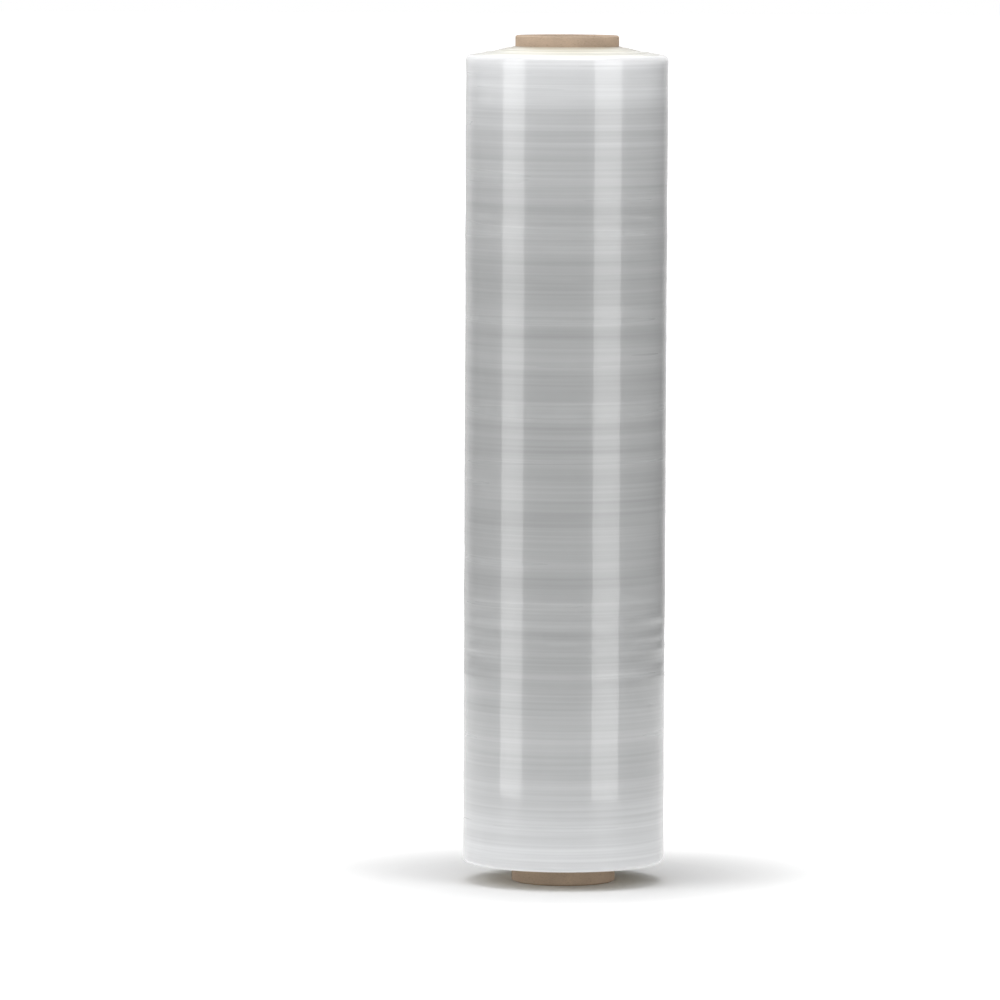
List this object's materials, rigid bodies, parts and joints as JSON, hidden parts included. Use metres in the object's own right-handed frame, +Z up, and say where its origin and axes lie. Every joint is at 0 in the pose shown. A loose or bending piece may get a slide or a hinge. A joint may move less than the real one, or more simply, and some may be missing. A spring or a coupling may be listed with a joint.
{
  "type": "stretch wrap roll",
  "caption": "Roll of clear stretch film wound on a round brown paper core that stands a little proud at both ends, standing upright on one end.",
  "frame": {"origin": "middle of the core's lower rim, which the roll stands on", "axes": "+Z up along the core's axis; the roll is the same all round, so +X and +Y are any two square directions"},
  "size_m": [0.125, 0.125, 0.524],
  "materials": {
    "core_paper": "brown kraft paper, spiral wound, matte, with a saw-cut rim",
    "clear_film": "many tight turns of clear polyethylene film, glossy silver grey round the barrel and milky at the ends"
  },
  "bodies": {
    "root": {"core_tube": "core_paper", "film_winding": "clear_film"}
  },
  "joints": []
}
